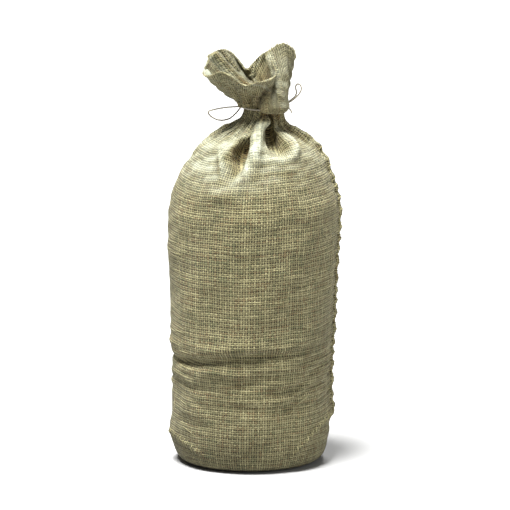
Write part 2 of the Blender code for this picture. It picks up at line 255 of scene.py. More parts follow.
# The fold that bulges between the two hollows in front, from the tie down and to the left
RIDGE_RISE = 0.0050
RIDGE_DEGREES = 267.0
RIDGE_HALF_DEGREES = 6.5
RIDGE_LEVEL = 0.400
RIDGE_LEAN = 260.0
RIDGE_FOOT = (0.356, 0.386)
RIDGE_FADE = (0.434, 0.448)

# The swelling round the lower right of the second hollow
CRESCENT_RISE = 0.0044
CRESCENT_MIDDLE = (294.0, 0.420)
CRESCENT_HALF = (18.0, 0.021)
CRESCENT_RING = 1.18
CRESCENT_EDGE = 0.24

# Cloth bunched over the first hollow, at the tie
BUNCH_RISE = 0.0085
BUNCH_DEGREES = 259.0
BUNCH_HALF_DEGREES = 10.0
BUNCH_FOOT = (0.410, 0.424)

# Small swellings that only the shown cloth has
# degrees round, height, rise, half width in degrees, half height
SWELLINGS = (
    (277.0, 0.437, 0.0036, 8.0, 0.008),
    (205.0, 0.382, 0.0030, 13.0, 0.028),
)

# Small folds under, in and over the main crease, both measures counted in CREASE_HALF
# distance above the crease, half height, rise
CREASE_FOLDS = (
    (-2.0, 1.5, 0.0020),
    (0.0, 0.8, -0.0016),
    (2.2, 1.4, 0.0014),
)
CREASE_DEGREES = 246.0
CREASE_REACH = 92.0

# The weave: one warp and one weft thread's share of the cloth, and how unevenly they lie
WARP_PITCH = 0.0033
WEFT_PITCH = 0.0029
WARP_WANDER = 0.42
WEFT_WANDER = 0.50
WEFT_PAIRING = 0.14
THREAD_RIDE = 0.38

# Length of cloth that the weave counts round the body and round the open cloth, plain and gathered
CLOTH_ROUND = 0.640
GATHER_ROUND = 0.360
RUFF_ROUND = 0.430
RUFF_GATHER_ROUND = 0.215

# Heights between which the gathered weave takes over from the plain one
GATHER_FROM = 0.400
GATHER_TO = 0.422

# How finely the shown cloth is divided
COLUMNS = 300
SEAM_CROWDING = 0.40
BODY_ROWS = 226
RUFF_ROWS = 44
INNER_ROWS = 30

# Small unevenness of the cloth
SMALL_PLEAT_DEPTH = 0.0020
SMALL_PLEAT_FOOT = 0.402
SMALL_PLEAT_DEGREES = 3.6
PUCKER_DEPTH = 0.0011
PUCKER_PITCH = 0.0165
PUCKER_REACH = 0.018
PUCKER_RADIUS = 0.1
PUCKER_FADE = (0.40, 0.43)

# Waves of a hand-filled sack, over the whole body, finer, on the shoulders, and round the main crease
# rise, how many, longest, shortest, how far they slant, whether they are folded sharp
WAVES = (
    (0.00100, 7, 0.150, 0.060, 6.0, False),
    (0.00040, 9, 0.050, 0.018, 1.1, False),
    (0.00055, 6, 0.060, 0.022, 6.0, True),
    (0.00100, 6, 0.034, 0.012, 0.5, False),
)
BASE_CALM = (0.012, 0.05)
SEAM_CALM = 5.0
NECK_CALM = (0.43, 0.446)
SHOULDER = (0.33, 0.40)
CREASED_BAND = (0.128, 0.040)
SHARP_MEAN = 1.27

# Flutes and crumples of the open cloth above the tie
FLUTES = (9, 14, 23, 31)
FLUTE_DEPTH = 0.0028
CRUMPLES = 5
RUFF_CRUMPLE = 0.0017
RUFF_FOOT = (0.04, 0.35)

# Calmer places, and the bulge at the left over the tie
# strength or rise, degrees round, half width in degrees
CALM_PLACES = ((0.6, 190.0, 55.0), (0.6, 325.0, 40.0))
LEFT_BULGE = (0.0055, 205.0, 34.0)

# The bulge's middle and half width, in shares of the way to the rim
LEFT_BULGE_SHARE = (0.14, 0.10)

# The groove up the inner side of the left lobe
GROOVE_FOOT = 112.0
GROOVE_RIM = 137.0
GROOVE_DEPTH = 0.0060
GROOVE_HALF = 8.0
GROOVE_FROM = (0.25, 0.55)

# The rolled lip that hangs over the twine on the right
ROLL_DEGREES = 300.0
ROLL_LEFT = (-52.0, -30.0)
ROLL_RIGHT = (40.0, 58.0)
ROLL_END = (0.32, 0.62)
ROLL_DROP_DEGREES = 34.0

# The rolled lip's outline
# share of the way to the rim, distance from the neck's middle, height over the tie
LIP_PROFILE = (
    (0.00, 0.0265, 0.0000),
    (0.05, 0.0286, 0.0021),
    (0.10, 0.0308, 0.0006),
    (0.16, 0.0346, -0.0038),
    (0.22, 0.0386, -0.0034),
    (0.30, 0.0404, 0.0028),
    (0.42, 0.0385, 0.0125),
    (0.62, 0.0400, 0.0300),
)

# Painted light and shade for the cloth's colour, from painted shade (below nought) to painted highlight
# (above nought) share of the painted light and shade, degrees round, half width in degrees
SHOULDER_HIGHLIGHT = (0.72, 236.0, 58.0)
BODY_UNDER_LIP_SHADOW = (2.0, 298.0, 36.0)
RUFF_UNDER_LIP_SHADOW = (1.5, 300.0, 36.0)
RUFF_FRONT_SHADE = (0.75, 255.0, 42.0)
LOBE_HIGHLIGHT = (1.40, 152.0, 22.0)
LOBE_TIP_SHADE = (0.70, 186.0, 16.0)
INNER_CUP_SHADE = (1.0, 62.0, 30.0)

# How strong the painted shade is in the hollows and in the groove, and how far the painted highlight and
# painted shade change the colour
HOLLOW_SHADE = 0.80
HOLLOW_DEPTH = 0.009
GROOVE_SHADE = 1.4
HIGHLIGHT_SHARE = 0.62
SHADE_SHARE = 0.85

# Sewing, fray and fibres
STITCH_PITCH = 0.0078
STITCH_RADIUS = 0.0006
STITCH_RISE = 0.00045
BOTTOM_STITCH_DEGREES = 4.4
BOTTOM_STITCH_RISE = 0.00035
BOTTOM_STITCH_SHARE = 0.75
SLUBS = 90
SLUB_RADIUS = 0.00050
RIM_YARNS = 230
LOOPED_YARNS = 22
LOOPED_IN_FRONT = 13
YARN_RADIUS = 0.00050
FIBRES = 2200
FIBRE_RADIUS = 0.00009

# The right lobe's longer fray: most added length, degrees round, half width in degrees
RIGHT_LOBE = (0.0050, 342.0, 42.0)

# Colours
JUTE_COLOURS = (
    ("Pale", (0.33, 0.30, 0.157, 1.0)),
    ("Straw", (0.20, 0.178, 0.083, 1.0)),
    ("Olive", (0.135, 0.142, 0.066, 1.0)),
    ("Brown", (0.180, 0.128, 0.057, 1.0)),
    # Painted shade: the colour of the holes between the threads
    ("Hole shade", (0.030, 0.024, 0.013, 1.0)),
)
# Painted highlight colours for the low and the high parts of the threads, and the tint of the painted shade
HIGHLIGHT_DEEP = (0.43, 0.45, 0.34, 1.0)
HIGHLIGHT_PALE = (0.57, 0.60, 0.47, 1.0)
SHADE_TINT = (0.72, 0.53, 0.33, 1.0)
YARN_PALE = (0.36, 0.33, 0.17, 1.0)
YARN_DARK = (0.18, 0.16, 0.075, 1.0)
TWINE_PALE = (0.46, 0.42, 0.33, 1.0)
TWINE_DARK = (0.22, 0.19, 0.14, 1.0)
FLOOR_COLOUR = (0.38, 0.38, 0.378, 1.0)

# Camera and light
CAMERA_TILT = 12.0
CAMERA_DISTANCE = 8.0
AIM = Vector((0.0, 0.0, 0.262))
FRAME_WIDTH = 0.640
SENSOR = 36.0
FLOOR_HALF = 30.0
WORLD_LIGHT = 0.14
KEY_LIGHT = 11.0
KEY_SOFTNESS = 20.0
KEY_SPOT = (-0.42, -0.44, 2.92)
FILL_LIGHT = 21.0
FILL_SPOT = (2.2, -1.6, 1.0)
FILL_SIZE = 1.8
BACK_LIGHT = 2.6
BACK_SPOT = (0.3, 1.2, 2.4)


def ease(low, high, value):
    """Nought below low, one above high, and smooth between."""
    share = np.clip((value - low) / (high - low), 0.0, 1.0)
    return share * share * (3.0 - 2.0 * share)


def turn_between(angle, middle):
    """The shortest turn from middle to angle, in degrees."""
    return (angle - middle + 180.0) % 360.0 - 180.0


def bell(*offsets):
    """One where every offset is nought, and falling smoothly away on all sides."""
    return np.exp(-sum(offset ** 2 for offset in offsets))


def off_middle(degrees, middle, reach):
    """Turn from a middle angle, counted in reaches."""
    return turn_between(degrees, middle) / reach


def patch(degrees, place):
    """A share that is strongest at one angle and fades to either side."""
    strength, middle, reach = place
    return strength * bell(off_middle(degrees, middle, reach))


def bump_rise(table, degrees, height):
    """Round hollows and swellings from a table of their places."""
    rise = np.zeros_like(degrees * height)
    for middle, level, depth, half_turn, half_height in table:
        rise += depth * bell(off_middle(degrees, middle, half_turn), (height - level) / half_height)
    return rise


def level_outward(turn):
    """Level directions away from the sack's middle line, for angles in radians."""
    return np.stack([np.cos(turn), np.sin(turn), 0.0 * turn], axis=-1)


def travelled(steps):
    """Distances along a route, from the lengths of its steps."""
    return np.concatenate(([0.0], np.cumsum(steps)))


def through_rows(table, place, closed=False):
    """A smooth curve through a table's rows, read at a row number that may be a fraction."""
    rows = np.array(table)
    count = len(rows)
    first = np.floor(place).astype(int)
    if not closed:
        first = np.clip(first, 0, count - 2)
    share = (place - first)[..., None]
    near = []
    for step in (-1, 0, 1, 2):
        index = (first + step) % count if closed else np.clip(first + step, 0, count - 1)
        near.append(rows[index])
    before, start, end, after = near
    return start + 0.5 * share * (
        end - before
        + share * (2.0 * before - 5.0 * start + 4.0 * end - after
                   + share * (3.0 * (start - end) + after - before)))


def even_rim(shares, samples=1200):
    """Points of the rim at even shares of its length."""
    places = np.linspace(0.0, len(RIM), samples)
    fine = through_rows(RIM, places, closed=True)
    length = travelled(np.linalg.norm(np.diff(fine, axis=0), axis=1))
    wanted = np.asarray(shares) % 1.0 * length[-1]
    return np.stack([np.interp(wanted, length, fine[:, axis]) for axis in range(3)], axis=-1)


def corner_height(degrees):
    """Height of the bottom seam at each angle, with a corner at either side."""
    across = np.cos(np.radians(degrees))
    corner = np.where(across > 0.0, CORNER_RIGHT, CORNER_LEFT)
    fall = np.clip((1.0 - np.abs(across)) / CORNER_REACH, 0.0, 1.0) ** 1.3
    return BODY[2][0] + (corner - BODY[2][0]) * (1.0 - fall)


def seam_place(degrees):
    """Row number of the bottom seam at each angle."""
    heights = [row[0] for row in BODY[:FREE_KNOT + 1]]
    return np.interp(corner_height(degrees), heights, range(FREE_KNOT + 1))


def follow_seam(degrees, place):
    """Move the lower rows so that one of them lies on the bottom seam."""
    seam = seam_place(degrees)
    below = place / SEAM_KNOT * seam
    above = seam + (place - SEAM_KNOT) / (FREE_KNOT - SEAM_KNOT) * (FREE_KNOT - seam)
    moved = np.where(place < SEAM_KNOT, below, above)
    return np.where(place < FREE_KNOT, moved, place)


def pleat_rise(degrees, height):
    """How far the pleats take the cloth in, at an angle and a height."""
    rise = np.zeros_like(degrees * height)
    for at_tie, at_foot, depth, foot in PLEATS:
        down = np.clip((TIE_HEIGHT - height) / (TIE_HEIGHT - foot), 0.0, 1.0)
        middle = at_tie + (at_foot - at_tie) * down
        strength = 1.0 - ease(0.25, 1.0, down)
        rise -= depth * strength * bell(off_middle(degrees, middle, PLEAT_DEGREES))
    return rise


def crease_height(degrees, left, right):
    """Height of a crease at each angle, from its heights at the left and at the right."""
    across = ease(-0.1, 0.6, 0.5 + 0.5 * np.cos(np.radians(degrees)))
    return left + (right - left) * across


def fold_rise(degrees, height):
    """Dimples in the shoulders and creases in the wall."""
    rise = bump_rise(DIMPLES, degrees, height)
    for middle, reach, left, right, depth in CREASES:
        turn = np.clip(np.abs(turn_between(degrees, middle)) / reach, 0.0, 1.0)
        strength = depth * (1.0 - ease(0.35, 1.0, turn))
        offset = (height - crease_height(degrees, left, right)) / CREASE_HALF
        rise += strength * (0.55 * bell((offset - 2.0) / 1.5) - bell(offset))
    return rise


def seam_rise(degrees, place, height):
    """The side seam up the right, and the bottom seam with its two corners."""
    half_width = through_rows(BODY, place)[..., 1]
    beside = np.abs(turn_between(degrees, 0.0)) * math.pi / 180.0 * half_width
    side = np.clip(1.0 - beside / SEAM_HALF, 0.0, 1.0)
    above_corner = ease(SEAM_FOOT, SEAM_FOOT + SEAM_FADE, height)
    below_tie = 1.0 - ease(SEAM_TOP, SEAM_TOP + SEAM_FADE, height)
    rise = SEAM_RISE * side * above_corner * below_tie
    seam = corner_height(degrees)
    front = ease(-0.05, 0.12, -np.sin(np.radians(degrees)))
    near = np.clip(1.0 - np.abs(height - seam) / SEAM_HALF, 0.0, 1.0)
    off_floor = ease(SEAM_FADE, 2.0 * SEAM_FADE, seam)
    rise += BOTTOM_SEAM_SHARE * SEAM_RISE * near * front * off_floor
    for middle, level in ((0.0, CORNER_RIGHT), (180.0, CORNER_LEFT)):
        turn = off_middle(degrees, middle, CORNER_DEGREES)
        rise += CORNER_RISE * bell(turn, (height - level) / CORNER_HALF)
    return rise


def body_point(degrees, place):
    """A point of the body: degrees round from the side seam, and a row number of BODY."""
    degrees = np.asarray(degrees, dtype=float)
    place = follow_seam(degrees, np.asarray(place, dtype=float) + 0.0 * degrees)
    row = through_rows(BODY, place)
    ahead = through_rows(BODY, np.minimum(place + NEAR_ROW, len(BODY) - 1.0))
    behind = through_rows(BODY, np.maximum(place - NEAR_ROW, 0.0))
    height = row[..., 0]
    turn = np.radians(degrees)
    point = np.stack([row[..., 3] + row[..., 1] * np.cos(turn), row[..., 2] * np.sin(turn), height], axis=-1)
    outward = np.stack([np.cos(turn) / row[..., 1], np.sin(turn) / row[..., 2]], axis=-1)
    outward /= np.linalg.norm(outward, axis=-1)[..., None]
    climb = ahead[..., 0] - behind[..., 0]
    spread = ahead[..., 1] - behind[..., 1]
    slope = np.hypot(climb, spread)
    level_share = climb / slope
    rise = pleat_rise(degrees, height) + fold_rise(degrees, height) + seam_rise(degrees, place, height)
    point[..., 0] += rise * outward[..., 0] * level_share
    point[..., 1] += rise * outward[..., 1] * level_share
    point[..., 2] -= rise * spread / slope * ease(BASE_ROUND, 3.0 * BASE_ROUND, height)
    return point


def ruff_point(degrees, share):
    """A point of the gathered cloth above the tie, from the tie (0) to the rim (1)."""
    degrees = np.asarray(degrees, dtype=float)
    share = np.asarray(share, dtype=float)[..., None] + 0.0 * degrees[..., None]
    tie = body_point(degrees, len(BODY) - 1.0)
    rim = even_rim(degrees / 360.0)
    turn = np.radians(degrees)
    lip = bell(off_middle(degrees, LIP_DEGREES, LIP_HALF_DEGREES))
    spread = FLARE_OUT * (0.60 - 0.45 * np.cos(turn)) + LIP_OUT * lip
    climb = FLARE_UP * (0.55 + 0.45 * np.cos(turn)) * (1.0 - LIP_FLAT * lip)
    away = np.stack([spread * np.cos(turn), spread * np.sin(turn), climb], axis=-1)
    middle = tie + away
    lip_share = lip[..., None]
    fading = (1.0 - share) ** 2
    gather = 3.0 * share * fading * (1.0 - lip_share) - fading * lip_share * ease(0.0, 0.15, share)
    gather = gather * pleat_rise(degrees, TIE_HEIGHT)[..., None]
    point = fading * tie + 2.0 * share * (1.0 - share) * middle + share ** 2 * rim
    point += gather * level_outward(turn)
    point[..., 2] -= LIP_DROP * lip * bell((share[..., 0] - LIP_SHARE) / LIP_HALF_SHARE)
    return point


def column_degrees():
    """Angles of the columns, closer together at the side seam; the last one closes the round."""
    even = np.arange(COLUMNS + 1) * 360.0 / COLUMNS
    return even - SEAM_CROWDING * 180.0 / math.pi * np.sin(np.radians(even))


def outline():
    """The sack's outline, finely read: row numbers of BODY, heights, and distances from the base along it."""
    places = np.linspace(0.0, len(BODY) - 1.0, 2000)
    rows = through_rows(BODY, places)
    length = travelled(np.hypot(np.diff(rows[:, 0]), np.diff(rows[:, 1])))
    return places, rows[:, 0], length


def profile_places(count):
    """Row numbers of BODY at even steps along the sack's outline."""
    places, _, length = outline()
    return np.interp(np.linspace(0.0, length[-1], count), length, places)


def place_at(height):
    """Row number of BODY at a height on the outline."""
    places, heights, _ = outline()
    return np.interp(height, heights, places)


def grid_normals(cloth):
    """Outward directions on a closed grid of points, row by row."""
    around = np.empty_like(cloth)
    around[:, 1:-1] = cloth[:, 2:] - cloth[:, :-2]
    around[:, 0] = cloth[:, 1] - cloth[:, -2]
    around[:, -1] = around[:, 0]
    up = np.gradient(cloth, axis=0)
    normal = np.cross(around, up)
    size = np.linalg.norm(normal, axis=-1)[..., None]
    return normal / np.maximum(size, 1e-12)


def sharp_folds(wave):
    """A wave folded into sharp creases, nought on the whole."""
    return 2.0 * np.abs(wave) - SHARP_MEAN


def waves(rng, across, along, count, longest, shortest, slant, sharp):
    """A gentle unevenness: a sum of slanted waves over the cloth."""
    total = np.zeros_like(across + along)
    for _ in range(count):
        length = longest * (shortest / longest) ** rng.random()
        lean = slant * (rng.random() - 0.5)
        phase = rng.random() * 2.0 * math.pi
        turn = 2.0 * math.pi / length
        wave = np.sin(turn * (along * math.cos(lean) + across * math.sin(lean)) + phase)
        total += sharp_folds(wave) if sharp else wave
    return total / math.sqrt(count)


def valley_rise(degrees, height):
    """The deeper folds that run from the tie down over the shoulders."""
    rise = np.zeros_like(height)
    for top, bottom, foot, fade, depth, left_foot, left_top, right_foot, right_top, crest in VALLEYS:
        up = np.clip((height - foot) / (TIE_HEIGHT - foot), 0.0, 1.0)
        turn = turn_between(degrees, bottom + (top - bottom) * up)
        left = left_foot + (left_top - left_foot) * np.minimum(2.0 * up, 1.0)
        right = right_foot + (right_top - right_foot) * up
        side = np.where(turn < 0.0, -turn / left, turn / right)
        strength = ease(0.0, 0.45, up) * (1.0 - ease(fade - 0.012, fade + 0.004, height))
        rise -= depth * strength * np.clip(1.0 - side, 0.0, 1.0) ** 1.15
        rise += crest * strength * bell((turn + left) / VALLEY_EDGE)
        rise += 0.30 * depth * bell((height - foot + 0.005) / 0.008, turn / 9.0)
    return rise


def main_crease_rise(degrees, height):
    """The small folds that follow the main crease in the wall."""
    _, _, left, right, _ = CREASES[0]
    offset = (height - crease_height(degrees, left, right)) / CREASE_HALF
    turn = np.clip(np.abs(turn_between(degrees, CREASE_DEGREES)) / CREASE_REACH, 0.0, 1.0)
    folds = sum(rise * bell((offset - above) / half) for above, half, rise in CREASE_FOLDS)
    return (1.0 - ease(0.45, 1.0, turn)) * folds


def front_ridge(degrees, height):
    """The fold that bulges between the two hollows in front."""
    middle = RIDGE_DEGREES + RIDGE_LEAN * np.clip(height - RIDGE_LEVEL, -0.03, 0.04)
    aside = off_middle(degrees, middle, RIDGE_HALF_DEGREES)
    return bell(aside) * ease(*RIDGE_FOOT, height) * (1.0 - ease(*RIDGE_FADE, height))


def crescent(degrees, height):
    """The swelling round the lower right of the second hollow."""
    aside = off_middle(degrees, CRESCENT_MIDDLE[0], CRESCENT_HALF[0])
    above = (height - CRESCENT_MIDDLE[1]) / CRESCENT_HALF[1]
    ring = np.hypot(aside, above)
    lower_right = ease(-0.1, 0.7, (0.70 * aside - 0.72 * above) / np.maximum(ring, 0.05))
    return bell((ring - CRESCENT_RING) / CRESCENT_EDGE) * lower_right


def small_pleats(rng, degrees, height):
    """A shallow pleat between every two deep ones."""
    rise = np.zeros_like(height)
    angles = sorted(row[0] for row in PLEATS)
    for first, second in zip(angles, angles[1:] + [angles[0] + 360.0]):
        middle = 0.5 * (first + second) + rng.uniform(-2.0, 2.0)
        foot = SMALL_PLEAT_FOOT + rng.uniform(-0.02, 0.015)
        down = np.clip((TIE_HEIGHT - height) / (TIE_HEIGHT - foot), 0.0, 1.0)
        aside = off_middle(degrees, middle, SMALL_PLEAT_DEGREES)
        rise -= SMALL_PLEAT_DEPTH * (1.0 - ease(0.2, 1.0, down)) * bell(aside)
    return rise


def pucker_rise(degrees, height):
    """Puckers beside the side seam, where its stitches draw the cloth together."""
    beside = np.abs(turn_between(degrees, 0.0)) * math.pi / 180.0 * PUCKER_RADIUS
    wave = np.sin(2.0 * math.pi * height / PUCKER_PITCH + 1.3 * np.sin(height * 90.0))
    drawn = ease(*BASE_CALM, height) * (1.0 - ease(*PUCKER_FADE, height))
    return PUCKER_DEPTH * wave * bell(beside / PUCKER_REACH) * drawn


def small_folds(degrees, places, height):
    """Folds under the tie, puckers beside the seam and the unevenness of a hand-filled sack."""
    rng = np.random.default_rng(41)
    fine, _, length = outline()
    across = degrees % 360.0 / 360.0 * CLOTH_ROUND
    along = np.interp(places, fine, length)
    rise = valley_rise(degrees, height) + small_pleats(rng, degrees, height)
    rise += RIDGE_RISE * front_ridge(degrees, height) + CRESCENT_RISE * crescent(degrees, height)
    bunch = bell(off_middle(degrees, BUNCH_DEGREES, BUNCH_HALF_DEGREES))
    rise += BUNCH_RISE * bunch * ease(*BUNCH_FOOT, height)
    rise += bump_rise(SWELLINGS, degrees, height)
    wall = ease(*BASE_CALM, height) * (1.0 - bell(off_middle(degrees, 0.0, SEAM_CALM)))
    neck = 1.0 - ease(*NECK_CALM, height)
    creased = bell((height - CREASED_BAND[0]) / CREASED_BAND[1])
    strengths = (wall * neck, wall * neck, ease(*SHOULDER, height) * neck, wall * creased)
    for strength, (tall, *kind) in zip(strengths, WAVES):
        rise += tall * strength * waves(rng, across, along, *kind)
    return rise + main_crease_rise(degrees, height) + pucker_rise(degrees, height)


def ruff_crumple(degrees, shares):
    """Flutes and crumples of the open cloth, calmer on the left lobe's front and by the lip."""
    rng = np.random.default_rng(17)
    around = np.radians(degrees)
    rise = np.zeros_like(shares)
    for count in FLUTES:
        phase = rng.random() * 2.0 * math.pi
        drift = rng.uniform(-1.2, 1.2)
        rise += FLUTE_DEPTH / count * np.sin(around * count + phase + drift * shares)
    for _ in range(CRUMPLES):
        wave = np.sin(rng.integers(2, 9) * around + rng.uniform(6.0, 24.0) * shares + rng.uniform(0.0, 6.0))
        rise += RUFF_CRUMPLE / 2.2 * sharp_folds(wave)
    calm = 1.0 - sum(patch(degrees, place) for place in CALM_PLACES)
    return rise * calm * ease(*RUFF_FOOT, shares) * (1.0 - 0.35 * ease(0.85, 1.0, shares))


def groove_turn(degrees, shares):
    """Turn from the groove in the left lobe, which leans on its way to the rim."""
    return turn_between(degrees, GROOVE_FOOT + (GROOVE_RIM - GROOVE_FOOT) * shares)


def lip_roll(degrees, shares):
    """Points of the rolled lip, and how far it takes the place of the plain cloth."""
    around = np.radians(degrees)
    profile = through_rows(LIP_PROFILE, np.linspace(0.0, len(LIP_PROFILE) - 1.0, 400))
    out, up = (np.interp(shares, profile[:, 0], profile[:, column]) for column in (1, 2))
    aside = turn_between(degrees, ROLL_DEGREES)
    narrow = 1.0 - 0.55 * ease(14.0, 52.0, aside)
    flutes = 1.0 + 0.07 * np.sin(7.0 * around + 9.0 * shares)
    out = (out - BODY[-1][1]) * narrow * flutes + BODY[-1][1]
    up = np.where(up < 0.0, up * bell(aside / ROLL_DROP_DEGREES), up)
    roll = np.stack([BODY[-1][3] + out * np.cos(around), out * np.sin(around), TIE_HEIGHT + up], axis=-1)
    share = ease(*ROLL_LEFT, aside) * (1.0 - ease(*ROLL_RIGHT, aside)) * (1.0 - ease(*ROLL_END, shares))
    return roll, share[..., None]


def shown_ruff(degrees, shares):
    """The open cloth above the tie with its flutes, crumples and the roll that hangs over the twine."""
    degrees = degrees + 0.0 * shares
    shares = shares + 0.0 * degrees
    cloth = ruff_point(degrees, shares)
    rise = ruff_crumple(degrees, shares)
    rise += patch(degrees, LEFT_BULGE) * bell((shares - LEFT_BULGE_SHARE[0]) / LEFT_BULGE_SHARE[1])
    groove = groove_turn(degrees, shares)
    grooved = bell(groove / GROOVE_HALF) - 0.45 * bell((np.abs(groove) - 2.0 * GROOVE_HALF) / GROOVE_HALF)
    rise += GROOVE_DEPTH * grooved * ease(*GROOVE_FROM, shares)
    cloth = cloth + grid_normals(cloth) * rise[..., None]
    roll, share = lip_roll(degrees, shares)
    return cloth + (roll - cloth) * share


def along_columns(cloth, start):
    """Distance along the cloth at each point of a grid, from a start at its first row."""
    steps = np.linalg.norm(np.diff(cloth, axis=0), axis=-1)
    return start + np.concatenate((np.zeros_like(steps[:1]), np.cumsum(steps, axis=0)))


def body_light_and_shade(degrees, body):
    """Painted highlight and shade of the body: lighter where the shoulders face up and on the raised folds,
    darker in the hollows and under the lip.
    """
    height = body[..., 2]
    hollow = HOLLOW_SHADE * np.clip(-valley_rise(degrees, height) / HOLLOW_DEPTH, 0.0, 1.0)
    up_facing_light = (0.28 + patch(degrees, SHOULDER_HIGHLIGHT)) * ease(0.10, 0.75, grid_normals(body)[..., 2])
    shoulder = ease(0.330, 0.392, height) * (1.0 - 0.7 * ease(0.405, 0.432, height))
    folds = 0.8 * front_ridge(degrees, height) + 0.6 * crescent(degrees, height)
    under_lip = patch(degrees, BODY_UNDER_LIP_SHADOW) * ease(0.434, 0.446, height)
    return up_facing_light * shoulder * (1.0 - hollow) - hollow - under_lip + folds


def ruff_light_and_shade(degrees, shares, ruff):
    """Painted highlight and shade of the outer side of the open cloth: lighter where it faces up, darker on
    the front flap and under the lip.
    """
    up_facing_light = 0.12 + 0.55 * ease(-0.1, 0.7, grid_normals(ruff)[..., 2])
    front = patch(degrees, RUFF_FRONT_SHADE) * (1.0 - ease(0.45, 0.90, shares))
    under_lip = patch(degrees, RUFF_UNDER_LIP_SHADOW) * (1.0 - ease(0.10, 0.20, shares))
    return up_facing_light - front - under_lip


def inner_light_and_shade(degrees, shares, inner):
    """Painted highlight and shade of the inner side of the open cloth: lighter where it faces up and on the
    left lobe, darker in the groove, the cup and deeper in.
    """
    up_facing_light = 0.15 + 0.55 * ease(0.0, 0.8, grid_normals(inner)[..., 2]) * ease(0.5, 0.8, shares)
    lobe = (patch(degrees, LOBE_HIGHLIGHT) - patch(degrees, LOBE_TIP_SHADE)) * ease(0.50, 0.80, shares)
    groove = GROOVE_SHADE * bell(groove_turn(degrees, shares) / 10.0)
    cup = patch(degrees, INNER_CUP_SHADE) * bell((shares - 0.72) / 0.17)
    return up_facing_light + lobe - groove - 0.8 * (1.0 - ease(0.30, 0.65, shares)) - cup


def body_grid():
    """The filled body with its small folds, the distance along its cloth, and its painted highlight and
    shade.
    """
    places = profile_places(BODY_ROWS)[:, None] + 0.0 * column_degrees()
    degrees = column_degrees() + 0.0 * places
    body = body_point(degrees, places)
    height = body[..., 2]
    normal = grid_normals(body)
    along = along_columns(body + normal * valley_rise(degrees, height)[..., None], 0.0)
    body = body + normal * small_folds(degrees, places, height)[..., None]
    body[..., 2] = np.maximum(body[..., 2], 0.0)
    body[0, :, 2] = 0.0
    return body, along, body_light_and_shade(degrees, body)


def ruff_shares():
    """Shares of the way from the tie to the rim at the ruff's rows."""
    return np.linspace(0.0, 1.0, RUFF_ROWS + 1)[:, None]


def ruff_grid(foot):
    """The outer side of the open cloth, on from the body's last row, and its painted highlight and shade."""
    degrees = column_degrees()[None, :]
    ruff = shown_ruff(degrees, ruff_shares())
    ruff[0] = foot
    return ruff, ruff_light_and_shade(degrees, ruff_shares(), ruff)


def inner_grid():
    """The inner side of the open cloth, from the rim down to the throat, and its painted highlight and shade.
    """
    degrees = column_degrees()[None, :]
    shares = np.linspace(1.0, THROAT_FROM, INNER_ROWS)[:, None]
    inner = shown_ruff(degrees, shares)
    inner += CLOTH_WALL * grid_normals(inner)
    turn = np.radians(degrees) + 0.0 * shares
    reach = THROAT_HALF * (1.0 + 0.22 * np.sin(11.0 * turn + 1.0))
    throat = np.stack([
        BODY[-1][3] + reach * np.cos(turn),
        reach * np.sin(turn),
        THROAT_FLOOR + 0.0 * turn], axis=-1)
    closing = (1.0 - ease(THROAT_FROM, THROAT_TO, shares))[..., None]
    inner = inner + (throat - inner) * closing
    return inner, inner_light_and_shade(degrees, shares, inner)


def cloth_grids():
    """The shown cloth as grids of points, each with its distance along the cloth and its painted highlight
    and shade.
    """
    body, body_along, body_painted_light = body_grid()
    ruff, ruff_painted_light = ruff_grid(body[-1])
    inner, inner_painted_light = inner_grid()
    ruff_along = along_columns(ruff, body_along[-1:])
    inner_along = along_columns(inner, ruff_along[-1:])
    return ((body, body_along, body_painted_light),
            (ruff[1:], ruff_along[1:], ruff_painted_light[1:]),
            (inner, inner_along, inner_painted_light))


def grid_mesh(name, points):
    """A mesh of a grid of points, its first and last columns on the same places but not yet joined."""
    rows, columns = points.shape[:2]
    shape = bmesh.new()
    bmesh.ops.create_grid(shape, x_segments=columns - 1, y_segments=rows - 1, size=1.0)
    mesh = bpy.data.meshes.new(name)
    shape.to_mesh(mesh)
    shape.free()
    mesh.vertices.foreach_set("co", points.astype(np.float32).ravel())
    return mesh


def face_corners(mesh):
    """The vertex number at each corner of a mesh's faces."""
    corner = np.empty(len(mesh.loops), dtype=np.int32)
    mesh.loops.foreach_get("vertex_index", corner)
    return corner


def write_uv(mesh, name, across, along):
    """A UV map from one pair of numbers at each corner of the grid's faces."""
    layer = mesh.uv_layers.new(name=name)
    layer.data.foreach_set("uv", np.stack([across, along], axis=-1).astype(np.float32).ravel())


def close_mesh(mesh, limit=1e-6):
    """Join the grid's meeting columns, fill the open ends and turn the faces outwards."""
    shape = bmesh.new()
    shape.from_mesh(mesh)
    bmesh.ops.remove_doubles(shape, verts=shape.verts, dist=limit)
    open_edges = [edge for edge in shape.edges if edge.is_boundary]
    if open_edges:
        bmesh.ops.holes_fill(shape, edges=open_edges, sides=0)
    bmesh.ops.recalc_face_normals(shape, faces=shape.faces)
    shape.to_mesh(mesh)
    shape.free()
    mesh.shade_smooth()


def add_piece(name, mesh, material):
    """An object of a mesh that rides on the sack, with its material, parented to the sack's root."""
    piece = bpy.data.objects.new(name, mesh)
    bpy.context.scene.collection.objects.link(piece)
    mesh.materials.clear()
    mesh.materials.append(material)
    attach(piece, "root")
    return piece


